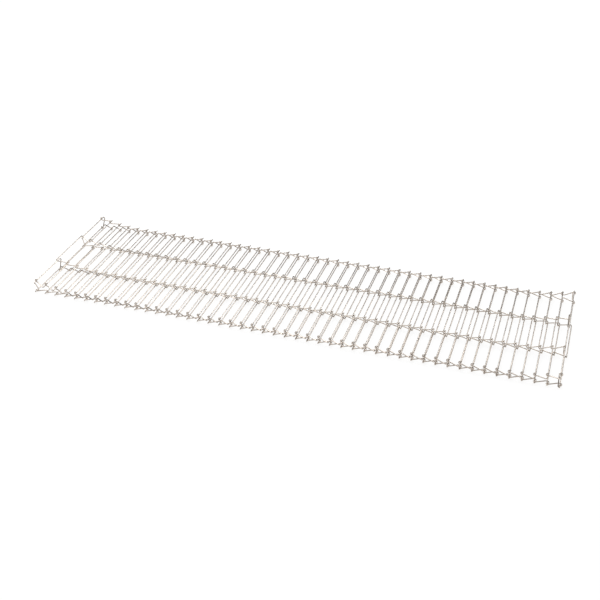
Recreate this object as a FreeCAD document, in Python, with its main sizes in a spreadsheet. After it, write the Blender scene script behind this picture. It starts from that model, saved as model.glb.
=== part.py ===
import FreeCAD, Part
import math
import os

# A flat wire conveyor belt for a toaster: an endless loop of 96 equal wire strands.
# Each strand is one wire. Its two outer spaces lie on the strand's own hinge line, its middle
# space lies just past the next hinge line, and two Z-bends join them. Both ends of the wire
# curl round the next strand, so every strand swings on the straight wires of the strand after it.
# The loop lies slack on a flat surface: a lower run, one upright strand at each end, and an upper
# run that sinks from the tops of the upright strands and lies just over the lower run.
# The frame: X along the belt, Y across it, Z up, origin under the middle of the loop.

# Driving sizes, in millimetres and degrees
SIZES = [
    ("pitch", 19.05),  # from one hinge line to the next
    ("belt_width", 262.0),  # to the corners of the edge bends
    ("middle_space", 87.3),  # between the two rows of Z-bends
    ("wire_dia", 1.83),
    ("lap_gap", 1.37),  # between a middle wire and the straight wires beside it
    ("leg_gap", 0.37),  # between a Z-bend's leg and the wires that it crosses
    ("zbend_reach", 4.0),  # how far a straight wire runs past its row of Z-bends
    ("ramp_angle", 50.0),  # how steeply a leg climbs over a wire
    ("bend_inside", 0.6),  # inside radius of every bend
    ("curl_gap", 0.57),  # between an edge curl and the wire in it
    ("curl_angle", 225.0),  # how far an edge curl goes round
    ("curl_side_gap", 6.2),  # between an edge curl and the next strand's edge bend
    ("curl_lead", 3.0),  # the straight stretch before an edge curl
    ("sink_angle", 3.5),  # how far each hinge bends where the upper run sinks from an end
]

# How many strands each section of a run has, from end to end: a section keeps its shape
STRAND_COUNTS = [4, 4, 4, 4, 5, 5, 5, 4, 4, 4, 4]
RUN_COUNT = sum(STRAND_COUNTS)

# How many strands of the upper run slope at each end, which is its whole first or last section
SLOPE_COUNT = STRAND_COUNTS[0]

Y_AXIS = FreeCAD.Vector(0, 1, 0)

doc = FreeCAD.newDocument("toaster_conveyor_belt")


# The sheet of driving sizes
def make_sheet():
    sheet = doc.addObject("Spreadsheet::Sheet", "sizes")
    for row, (alias, value) in enumerate(SIZES, start=1):
        sheet.set(f"A{row}", alias)
        sheet.set(f"B{row}", str(value))
        sheet.setAlias(f"B{row}", alias)
    doc.recompute()
    return sheet


# A line through the points with every corner rounded: straight runs joined by tangent arcs
def rounded_edges(points, radius):
    ways = [(b - a).normalize() for a, b in zip(points, points[1:])]
    lengths = [(b - a).Length for a, b in zip(points, points[1:])]
    # the tangent of half of each corner's turn, with none at the two ends
    halves = [0.0] + [math.tan(a.getAngle(b) / 2) for a, b in zip(ways, ways[1:])] + [0.0]
    edges = []
    start = points[0]
    for n in range(1, len(points) - 1):
        # two bends that share a short run are limited by its length
        room = min(lengths[n - 1] / (halves[n - 1] + halves[n]), lengths[n] / (halves[n] + halves[n + 1]))
        bend = min(radius, 0.98 * room)
        into = points[n] - ways[n - 1] * (bend * halves[n])
        out = points[n] + ways[n] * (bend * halves[n])
        inward = (ways[n] - ways[n - 1]).normalize()
        to_centre = bend * math.sqrt(1 + halves[n] ** 2)
        middle = points[n] + inward * (to_centre - bend)
        edges.append(Part.LineSegment(start, into).toShape())
        edges.append(Part.Arc(into, middle, out).toShape())
        start = out
    edges.append(Part.LineSegment(start, points[-1]).toShape())
    return edges


# An edge curl, in a plane across the belt, from angle a to angle b round the next hinge line
def curl_edge(centre, radius, a, b):
    def at(degrees):
        turn = math.radians(degrees)
        return centre + FreeCAD.Vector(radius * math.sin(turn), 0, radius * math.cos(turn))

    return Part.Arc(at(a), at((a + b) / 2), at(b)).toShape()


# The middle line of one strand, with its hinge line on Y and the loop's inside towards +Z
def strand_line(sheet):
    dia = sheet.wire_dia
    bend = sheet.bend_inside + dia / 2
    slope = math.tan(math.radians(sheet.ramp_angle))
    edge = sheet.belt_width / 2 - dia / 2
    row = sheet.middle_space / 2

    # the far edge: out along the hinge line, up and inboard to the next hinge line
    curl_radius = dia + sheet.curl_gap
    inset = bend + dia / 2 + sheet.curl_side_gap
    lead = sheet.pitch - sheet.curl_lead
    edge_ramp = curl_radius / slope
    curl_centre = FreeCAD.Vector(sheet.pitch, edge - inset, 0)
    edge_leg = [
        curl_centre + FreeCAD.Vector(0, 0, curl_radius),
        FreeCAD.Vector(lead, edge - inset, curl_radius),
        FreeCAD.Vector(edge_ramp, edge - inset * edge_ramp / lead, curl_radius),
        FreeCAD.Vector(0, edge, 0),
    ]

    # the far Z-bend: past its row, back over two wires, and down to the middle wire
    height = dia + sheet.leg_gap
    ramp = height / slope
    across = sheet.pitch + dia + sheet.lap_gap
    drift = 2 * sheet.zbend_reach * ramp / across
    inner = row - sheet.zbend_reach
    outer = row + sheet.zbend_reach
    z_bend = [
        FreeCAD.Vector(0, inner, 0),
        FreeCAD.Vector(ramp, inner + drift, height),
        FreeCAD.Vector(across - ramp, outer - drift, height),
        FreeCAD.Vector(across, outer, 0),
    ]

    # the near half mirrors the far half
    far_half = edge_leg + z_bend
    near_half = [FreeCAD.Vector(p.x, -p.y, p.z) for p in reversed(far_half)]
    near_centre = FreeCAD.Vector(curl_centre.x, -curl_centre.y, 0)
    edges = [curl_edge(curl_centre, curl_radius, sheet.curl_angle, 0)]
    edges += rounded_edges(far_half + near_half, bend)
    edges.append(curl_edge(near_centre, curl_radius, 0, sheet.curl_angle))
    return Part.Wire(edges)


# One strand: a round wire swept along its middle line, from the cut end of the far curl
def make_strand(sheet):
    line = doc.addObject("Part::Feature", "strand_line")
    line.Shape = strand_line(sheet)

    section = doc.addObject("Part::Circle", "wire_section")
    section.Placement = FreeCAD.Placement(FreeCAD.Vector(), FreeCAD.Rotation(Y_AXIS, 0))
    curl_radius = "(sizes.wire_dia + sizes.curl_gap)"
    turn = "(sizes.curl_angle * 1 deg)"
    inset = "(sizes.bend_inside + sizes.wire_dia + sizes.curl_side_gap)"
    section.setExpression("Radius", "sizes.wire_dia / 2")
    section.setExpression("Placement.Base.x", f"sizes.pitch + {curl_radius} * sin({turn})")
    section.setExpression("Placement.Base.y", f"(sizes.belt_width - sizes.wire_dia) / 2 - {inset}")
    section.setExpression("Placement.Base.z", f"{curl_radius} * cos({turn})")
    section.setExpression("Placement.Rotation.Angle", f"{turn} - 90 deg")

    strand = doc.addObject("Part::Sweep", "strand")
    strand.Sections = [section]
    strand.Spine = (line, [])
    strand.Solid = True
    strand.Frenet = False
    doc.recompute()
    return strand


# Where every strand points, in degrees from +X towards +Z, in the order that the belt runs:
# the lower run goes right, the right end up, the upper run left, the left end down
def strand_angles(sheet):
    slopes = [sheet.sink_angle * n for n in range(SLOPE_COUNT, 0, -1)]
    # the upright strands lean inwards by what the slopes take from the upper run's length
    shortened = sum(1 - math.cos(math.radians(slope)) for slope in slopes)
    lean = math.degrees(math.asin(shortened))
    sinking = [180 + slope for slope in slopes]
    rising = [180 - slope for slope in reversed(slopes)]
    upper = sinking + [180] * (RUN_COUNT - 2 * SLOPE_COUNT) + rising
    return [0] * RUN_COUNT + [90 + lean] + upper + [270 - lean]


# The loop of strands by name: each one starts at the hinge line that the strand before it reaches
def make_loop(strand, sheet):
    lower = [f"lower_{n:02d}" for n in range(1, RUN_COUNT + 1)]
    upper = [f"upper_{n:02d}" for n in range(1, RUN_COUNT + 1)]
    along = f"-{RUN_COUNT} / 2 * sizes.pitch"
    up = "max(sizes.lap_gap; sizes.curl_gap) + 1.5 * sizes.wire_dia"
    loop = {}
    for name, angle in zip(lower + ["right_end"] + upper + ["left_end"], strand_angles(sheet)):
        link = doc.addObject("App::Link", name)
        link.LinkedObject = strand
        link.LinkTransform = False
        link.Placement = FreeCAD.Placement(FreeCAD.Vector(), FreeCAD.Rotation(Y_AXIS, -angle))
        link.setExpression("Placement.Base.x", along)
        link.setExpression("Placement.Base.z", up)
        along = f"{name}.Placement.Base.x + sizes.pitch * cos({angle} deg) * 1 mm"
        up = f"{name}.Placement.Base.z + sizes.pitch * sin({angle} deg) * 1 mm"
        loop[name] = link
    return loop


# A sub-part: one or two neighbouring strands under the name of their node
def make_node(name, strands):
    node = doc.addObject("Part::Compound", name)
    node.Label = name
    node.Links = strands
    return node


# The strands of a section by number: pairs, with a single strand in the middle of an odd section
def node_numbers(first, count):
    numbers = list(range(first, first + count))
    middle = count // 2
    single = [[numbers[middle]]] if count % 2 else []
    before = [numbers[n : n + 2] for n in range(0, middle, 2)]
    after = [numbers[n : n + 2] for n in range(middle + count % 2, count, 2)]
    return before + single + after


# The sub-parts of one run of the belt, its strands numbered the way that the belt runs
def make_run(loop, run):
    nodes = []
    first = 1
    for count in STRAND_COUNTS:
        for numbers in node_numbers(first, count):
            label = "_".join(f"{n:02d}" for n in numbers)
            kind = "strands" if len(numbers) > 1 else "strand"
            nodes.append(make_node(f"{run}_{kind}_{label}", [loop[f"{run}_{n:02d}"] for n in numbers]))
        first += count
    return nodes


# All sub-parts of the belt
def make_belt(loop):
    right = make_node("right_end_strand", [loop["right_end"]])
    left = make_node("left_end_strand", [loop["left_end"]])
    return make_run(loop, "lower") + [right] + make_run(loop, "upper") + [left]


# Stop before anything is written if a step of the model failed
def check_model(nodes):
    for thing in doc.Objects:
        if "Invalid" in thing.State or "Error" in thing.State:
            raise RuntimeError(f"{thing.Label} failed: {thing.State}")
    for node in nodes:
        if node.Shape.isNull() or not node.Shape.isValid():
            raise RuntimeError(f"{node.Label} has no valid shape")


sheet = make_sheet()
strand = make_strand(sheet)
loop = make_loop(strand, sheet)
nodes = make_belt(loop)
doc.recompute()
check_model(nodes)

os.makedirs("parts", exist_ok=True)
for node in nodes:
    node.Shape.exportStep(f"parts/{node.Label}.step")

wire_length = strand.Spine[0].Shape.Length
print(f"{len(nodes)} nodes, {sum(len(n.Shape.Solids) for n in nodes)} strands")
print(f"one strand: {wire_length:.1f} mm of wire, {strand.Shape.Volume:.1f} mm3")
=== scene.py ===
import math
import bpy
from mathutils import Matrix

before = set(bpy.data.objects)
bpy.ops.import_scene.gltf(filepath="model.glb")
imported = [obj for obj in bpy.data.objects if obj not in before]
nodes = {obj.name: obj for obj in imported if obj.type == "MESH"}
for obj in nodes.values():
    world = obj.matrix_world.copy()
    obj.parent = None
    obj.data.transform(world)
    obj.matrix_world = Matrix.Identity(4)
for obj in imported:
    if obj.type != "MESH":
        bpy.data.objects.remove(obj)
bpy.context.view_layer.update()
print("belt loaded:", len(nodes), "nodes")

mm = 0.001

# the belt's own layout, which the finishes follow
layout = {
    "pitch": 19.05 * mm,      # from one hinge line to the next
    "strandsInRun": 47,
    "bendRow": 43.65 * mm,    # each row of Z-bends lies this far from the middle
    "bendReach": 5.2 * mm,    # half the width of a row
    "edgeCurl": 119.4 * mm,   # the edge curls lie outside this
    "runSplit": 8.0 * mm,     # height between the lower and the upper run
}
firstHinge = -0.5 * layout["strandsInRun"] * layout["pitch"]


# a link, a colour or a plain number goes into a socket
def feed(tree, socket, value):
    if isinstance(value, bpy.types.NodeSocket):
        tree.links.new(value, socket)
    elif socket.type == "RGBA":
        socket.default_value = (*value, 1.0)
    else:
        socket.default_value = value


def addMath(tree, operation, *values):
    node = tree.nodes.new("ShaderNodeMath")
    node.operation = operation
    for socket, value in zip(node.inputs, values):
        feed(tree, socket, value)
    return node.outputs[0]


def addRange(tree, value, low, high, toLow=0.0, toHigh=1.0, ease="SMOOTHSTEP"):
    node = tree.nodes.new("ShaderNodeMapRange")
    node.interpolation_type = ease
    labels = ("Value", "From Min", "From Max", "To Min", "To Max")
    for label, number in zip(labels, (value, low, high, toLow, toHigh)):
        feed(tree, node.inputs[label], number)
    return node.outputs["Result"]


def addNoise(tree, vector, scale, detail, roughness):
    node = tree.nodes.new("ShaderNodeTexNoise")
    labels = ("Vector", "Scale", "Detail", "Roughness")
    for label, value in zip(labels, (vector, scale, detail, roughness)):
        feed(tree, node.inputs[label], value)
    return node.outputs["Fac"]


def addScaled(tree, vector, factors):
    node = tree.nodes.new("ShaderNodeVectorMath")
    node.operation = "MULTIPLY"
    feed(tree, node.inputs[0], vector)
    feed(tree, node.inputs[1], factors)
    return node.outputs["Vector"]


# mixes two colours, or two plain numbers with kind FLOAT
def addMix(tree, factor, a, b, kind="RGBA"):
    node = tree.nodes.new("ShaderNodeMix")
    node.data_type = kind
    wanted = "VALUE" if kind == "FLOAT" else kind
    ends = [socket for socket in node.inputs if socket.type == wanted and socket.name in ("A", "B")]
    for socket, value in zip([node.inputs["Factor"], *ends], (factor, a, b)):
        feed(tree, socket, value)
    return next(socket for socket in node.outputs if socket.type == wanted)


def addPlace(tree, kind="Object"):
    return tree.nodes.new("ShaderNodeTexCoord").outputs[kind]


def addSplit(tree, vector):
    node = tree.nodes.new("ShaderNodeSeparateXYZ")
    feed(tree, node.inputs[0], vector)
    return node.outputs


# how many pitches a point lies from the first hinge line
def addPitches(tree, x):
    return addMath(tree, "DIVIDE", addMath(tree, "SUBTRACT", x, firstHinge), layout["pitch"])


# the shared finishes take and give plain numbers
def newGroup(name, inputs, outputs):
    group = bpy.data.node_groups.new(name, "ShaderNodeTree")
    for label, value in inputs.items():
        socket = group.interface.new_socket(label, in_out="INPUT", socket_type="NodeSocketFloat")
        socket.default_value = value
    for label in outputs:
        group.interface.new_socket(label, in_out="OUTPUT", socket_type="NodeSocketFloat")
    start = group.nodes.new("NodeGroupInput")
    end = group.nodes.new("NodeGroupOutput")
    return group, start.outputs, end.inputs


# where the wires hook into each other: the two rows of Z-bends and the two curled edges
zoneShape = {
    "legStart": (0.35, 0.65),     # share of a hook zone at which the drawn lines turn along the legs
    "bendFade": (0.45, 0.12),     # pitches from a hinge line, from no bend to full bend
}


def hookZonesGroup():
    group, start, end = newGroup("hookZones", {"Softness": 1.5 * mm}, ["Legs", "Hooks", "Bends", "Edges"])
    place = addSplit(group, addPlace(group))
    fromHinge = addMath(group, "PINGPONG", addPitches(group, place["X"]), 0.5)
    across = addMath(group, "ABSOLUTE", place["Y"])
    fromRow = addMath(group, "ABSOLUTE", addMath(group, "SUBTRACT", across, layout["bendRow"]))
    rowEnd = addMath(group, "ADD", start["Softness"], layout["bendReach"])
    rows = addRange(group, fromRow, rowEnd, layout["bendReach"])
    edgeStart = addMath(group, "SUBTRACT", layout["edgeCurl"], start["Softness"])
    edges = addRange(group, across, edgeStart, layout["edgeCurl"])
    hooks = addMath(group, "MAXIMUM", rows, edges)
    # the bends' mask, where the finish lays its painted dark reflection
    bends = addMath(group, "MULTIPLY", hooks, addRange(group, fromHinge, *zoneShape["bendFade"]))
    feed(group, end["Legs"], addRange(group, hooks, *zoneShape["legStart"]))
    feed(group, end["Hooks"], hooks)
    feed(group, end["Bends"], bends)
    feed(group, end["Edges"], edges)
    return group


# fine lines that the drawing die leaves along the wire, and a finer grain all over
lineShape = {
    "alongWires": (1.0, 0.012, 1.0),      # the lines stretch along the straight wires
    "alongLegs": (0.02, 1.0, 1.0),
    "lineNoise": (3.0, 0.6),              # detail, and how rough it is
    "grainScale": 2600.0,
    "grainNoise": (4.0, 0.65),
}


def drawLinesGroup():
    group, start, end = newGroup("drawLines", {"Fineness": 5200.0, "Legs": 0.0}, ["Lines", "Grain"])
    place = addPlace(group)
    wirePlace = addScaled(group, place, lineShape["alongWires"])
    legPlace = addScaled(group, place, lineShape["alongLegs"])
    onWires = addNoise(group, wirePlace, start["Fineness"], *lineShape["lineNoise"])
    onLegs = addNoise(group, legPlace, start["Fineness"], *lineShape["lineNoise"])
    feed(group, end["Lines"], addMix(group, start["Legs"], onWires, onLegs, "FLOAT"))
    feed(group, end["Grain"], addNoise(group, place, lineShape["grainScale"], *lineShape["grainNoise"]))
    return group


# every straight wire has its own slight tone, and the steel drifts between cool and straw
toneShape = {"driftNoise": (3.0, 0.55)}


def wireToneGroup():
    group, start, end = newGroup("wireTone", {"Drift Scale": 14.0}, ["Tone", "Drift"])
    place = addPlace(group)
    split = addSplit(group, place)
    wire = addMath(group, "FLOOR", addMath(group, "ADD", addPitches(group, split["X"]), 0.5))
    fromRow = addMath(group, "SUBTRACT", addMath(group, "ABSOLUTE", split["Y"]), layout["bendRow"])
    side = addMath(group, "ADD", addMath(group, "SIGN", split["Y"]), 2.0)
    column = addMath(group, "MULTIPLY", addMath(group, "SIGN", fromRow), side)
    run = addMath(group, "GREATER_THAN", split["Z"], layout["runSplit"])
    key = group.nodes.new("ShaderNodeCombineXYZ")
    for label, value in (("X", wire), ("Y", column), ("Z", run)):
        feed(group, key.inputs[label], value)
    tone = group.nodes.new("ShaderNodeTexWhiteNoise")
    tone.noise_dimensions = "3D"
    feed(group, tone.inputs["Vector"], key.outputs[0])
    feed(group, end["Tone"], tone.outputs["Value"])
    feed(group, end["Drift"], addNoise(group, place, start["Drift Scale"], *toneShape["driftNoise"]))
    return group


hookZones = hookZonesGroup()
drawLines = drawLinesGroup()
wireTone = wireToneGroup()
print("shared finishes made")


def placeGroup(tree, group, values):
    node = tree.nodes.new("ShaderNodeGroup")
    node.node_tree = group
    for label, value in values.items():
        feed(tree, node.inputs[label], value)
    return node.outputs


# drawn stainless steel; the hooks carry painted reflection, paler on the legs and darker at the bends and
# curls
upperWire = {
    "coolSteel": (0.72, 0.66, 0.61),
    "strawSteel": (0.73, 0.655, 0.58),
    "darkSteel": (0.52, 0.47, 0.42),
    "legReflectSteel": (0.765, 0.695, 0.625),      # legs of the Z-bends, paler as a painted highlight
    "bendReflectSteel": (0.56, 0.50, 0.44),      # their bends, darker as painted reflection of the dim walls
    "edgeReflectSteel": (0.63, 0.565, 0.505),     # legs at the edges, toned as painted reflection
    "curlReflectSteel": (0.60, 0.535, 0.475),    # bends and curls at the edges, darker as painted reflection of the dim walls
    "driftScale": 14.0,
    "driftRange": (0.35, 0.65),
    "toneSpread": 0.3,                    # how far a wire's own tone goes towards dark steel
    "hookSoftness": 1.5 * mm,
    # how far the bends go to their painted dark reflection
    "bendDark": 0.9,
    "bendLow": 0.8,                       # bends where the grain is thin
    "fineness": 5200.0,
    "lineRange": (0.42, 0.7),
    "lineDark": 0.4,
    "grainRange": (0.3, 0.7),
    "roughness": 0.09,
    "lineRough": 0.12,
    "hookRough": -0.04,                   # the hooks are burnished
    "hookLow": 0.6,
    "bump": 0.28,
    "bumpDepth": 0.02 * mm,
    "grainHeight": 0.35,
}
# the lower run is a darker copy of the same steel: painted shade of the run that lies under the upper one
shadedLowerWire = dict(
    upperWire,
    coolSteel=(0.595, 0.54, 0.49),
    strawSteel=(0.605, 0.535, 0.47),
    darkSteel=(0.45, 0.40, 0.35),
)
endWire = dict(upperWire, coolSteel=(0.675, 0.61, 0.55), toneSpread=0.2)


def wireMaterial(name, look):
    material = bpy.data.materials.new(name)
    material.use_nodes = True
    tree = material.node_tree
    shader = tree.nodes["Principled BSDF"]
    shader.inputs["Metallic"].default_value = 1.0
    zones = placeGroup(tree, hookZones, {"Softness": look["hookSoftness"]})
    lines = placeGroup(tree, drawLines, {"Fineness": look["fineness"], "Legs": zones["Legs"]})
    tones = placeGroup(tree, wireTone, {"Drift Scale": look["driftScale"]})

    # the straight wires
    drift = addRange(tree, tones["Drift"], *look["driftRange"])
    steel = addMix(tree, drift, look["coolSteel"], look["strawSteel"])
    ownTone = addRange(tree, tones["Tone"], 0.0, 1.0, 0.0, look["toneSpread"], "LINEAR")
    straight = addMix(tree, ownTone, steel, look["darkSteel"])

    # the legs, and the bends and curls on them, painted as reflection: paler legs, darker bends
    legs = addMix(tree, zones["Edges"], look["legReflectSteel"], look["edgeReflectSteel"])
    legged = addMix(tree, zones["Hooks"], straight, legs)
    bends = addMix(tree, zones["Edges"], look["bendReflectSteel"], look["curlReflectSteel"])
    grained = addRange(tree, lines["Grain"], *look["grainRange"], look["bendLow"], 1.0)
    bendShare = addMath(tree, "MULTIPLY", zones["Bends"], grained)
    # painted dark reflection laid on the bends
    hooked = addMix(tree, addMath(tree, "MULTIPLY", bendShare, look["bendDark"]), legged, bends)

    streaks = addRange(tree, lines["Lines"], *look["lineRange"], 0.0, look["lineDark"])
    feed(tree, shader.inputs["Base Color"], addMix(tree, streaks, hooked, look["darkSteel"]))

    burnish = addRange(tree, lines["Grain"], *look["grainRange"], look["hookLow"], 1.0)
    burnish = addMath(tree, "MULTIPLY", zones["Hooks"], burnish)
    rough = addMath(tree, "MULTIPLY_ADD", lines["Lines"], look["lineRough"], look["roughness"])
    feed(tree, shader.inputs["Roughness"], addMath(tree, "MULTIPLY_ADD", burnish, look["hookRough"], rough))

    bump = tree.nodes.new("ShaderNodeBump")
    bump.inputs["Strength"].default_value = look["bump"]
    bump.inputs["Distance"].default_value = look["bumpDepth"]
    height = addMath(tree, "MULTIPLY_ADD", lines["Grain"], look["grainHeight"], lines["Lines"])
    feed(tree, bump.inputs["Height"], height)
    feed(tree, shader.inputs["Normal"], bump.outputs["Normal"])
    return material


endFinish = wireMaterial("endStrandWire", endWire)
finishes = {
    "upper": wireMaterial("upperRunWire", upperWire),
    # the lower run takes the darker copy, as painted shade
    "lower": wireMaterial("shadedLowerRunWire", shadedLowerWire),
    "right": endFinish,
    "left": endFinish,
}
for name, node in nodes.items():
    node.data.materials.clear()
    node.data.materials.append(finishes[name.split("_")[0]])
print("wire finished on", len(nodes), "nodes")


# rays from the camera, and rays that show the room in the wire
def addRays(tree):
    rays = tree.nodes.new("ShaderNodeLightPath").outputs
    shiny = addMath(tree, "MAXIMUM", rays["Is Glossy Ray"], rays["Is Transmission Ray"])
    return rays["Is Camera Ray"], shiny


# a plain pale floor, which looks white, also in the wire, and keeps a soft shadow
floorLook = {"size": 12.0, "colour": (0.96, 0.96, 0.96), "whiteShare": 0.82}


def makeFloor():
    bpy.ops.mesh.primitive_plane_add(size=floorLook["size"], location=(0, 0, 0))
    floor = bpy.context.object
    floor.name = "floor"
    material = bpy.data.materials.new("paleFloor")
    material.use_nodes = True
    tree = material.node_tree
    tree.nodes.clear()
    diffuse = tree.nodes.new("ShaderNodeBsdfDiffuse")
    feed(tree, diffuse.inputs["Color"], floorLook["colour"])
    glow = tree.nodes.new("ShaderNodeEmission")
    glow.inputs["Strength"].default_value = 1.0
    mix = tree.nodes.new("ShaderNodeMixShader")
    out = tree.nodes.new("ShaderNodeOutputMaterial")
    seen = addMath(tree, "MAXIMUM", *addRays(tree))
    white = addMath(tree, "MULTIPLY", seen, floorLook["whiteShare"])
    for socket, value in zip(mix.inputs, (white, diffuse.outputs[0], glow.outputs[0])):
        feed(tree, socket, value)
    feed(tree, out.inputs["Surface"], mix.outputs[0])
    floor.data.materials.append(material)


# a white room to the camera; the wire sees dim walls under a pale ceiling
studio = {
    "level": 1.06,
    "walls": 0.12,
    "ceiling": 0.9,
    "wallTop": 0.55,       # height of a direction at which the walls begin to lighten
    "ceilingEdge": 0.9,    # and at which the ceiling is reached
}


def makeRoom():
    world = bpy.data.worlds.new("studio")
    bpy.context.scene.world = world
    world.use_nodes = True
    tree = world.node_tree
    shader = tree.nodes["Background"]
    feed(tree, shader.inputs["Color"], (1.0, 1.0, 1.0))
    up = addSplit(tree, addPlace(tree, "Generated"))["Z"]
    room = addRange(tree, up, studio["wallTop"], studio["ceilingEdge"], studio["walls"], studio["ceiling"])
    fromCamera, shiny = addRays(tree)
    change = addMath(tree, "SUBTRACT", room, studio["level"])
    strength = addMath(tree, "MULTIPLY_ADD", shiny, change, studio["level"])
    feed(tree, shader.inputs["Strength"], addMath(tree, "MAXIMUM", strength, fromCamera))


# a soft panel over the far side, which the near wires mirror more than the far ones
ceilingLamp = {
    "place": (-0.23, 0.84, 1.15),
    "turn": 44.0,
    "size": (3.2, 0.5),
    "power": 18.5,
}


def makeLamp():
    panel = bpy.data.lights.new("ceilingLamp", "AREA")
    panel.shape = "RECTANGLE"
    panel.size, panel.size_y = ceilingLamp["size"]
    panel.energy = ceilingLamp["power"]
    lamp = bpy.data.objects.new("ceilingLamp", panel)
    bpy.context.scene.collection.objects.link(lamp)
    lamp.location = ceilingLamp["place"]
    lamp.rotation_euler = (0, 0, math.radians(ceilingLamp["turn"]))     # it shines straight down


makeFloor()
makeRoom()
makeLamp()
print("floor, room and lamp placed")

# the photo's viewing angle
photoView = {
    "place": (0.43647, -1.3744, 0.90819),
    "down": 32.30762,
    "turn": 17.79156,
    "focalPixels": 983.54986,
    "framePixels": 600,
    "sensor": 36.0,
}


def makeCamera():
    lens = bpy.data.cameras.new("photoCamera")
    lens.sensor_width = photoView["sensor"]
    lens.lens = photoView["sensor"] * photoView["focalPixels"] / photoView["framePixels"]
    camera = bpy.data.objects.new("photoCamera", lens)
    bpy.context.scene.collection.objects.link(camera)
    camera.location = photoView["place"]
    camera.rotation_euler = (math.radians(90 - photoView["down"]), 0, math.radians(photoView["turn"]))
    bpy.context.scene.camera = camera


makeCamera()
bpy.context.scene.view_settings.view_transform = "Standard"
print("camera placed")
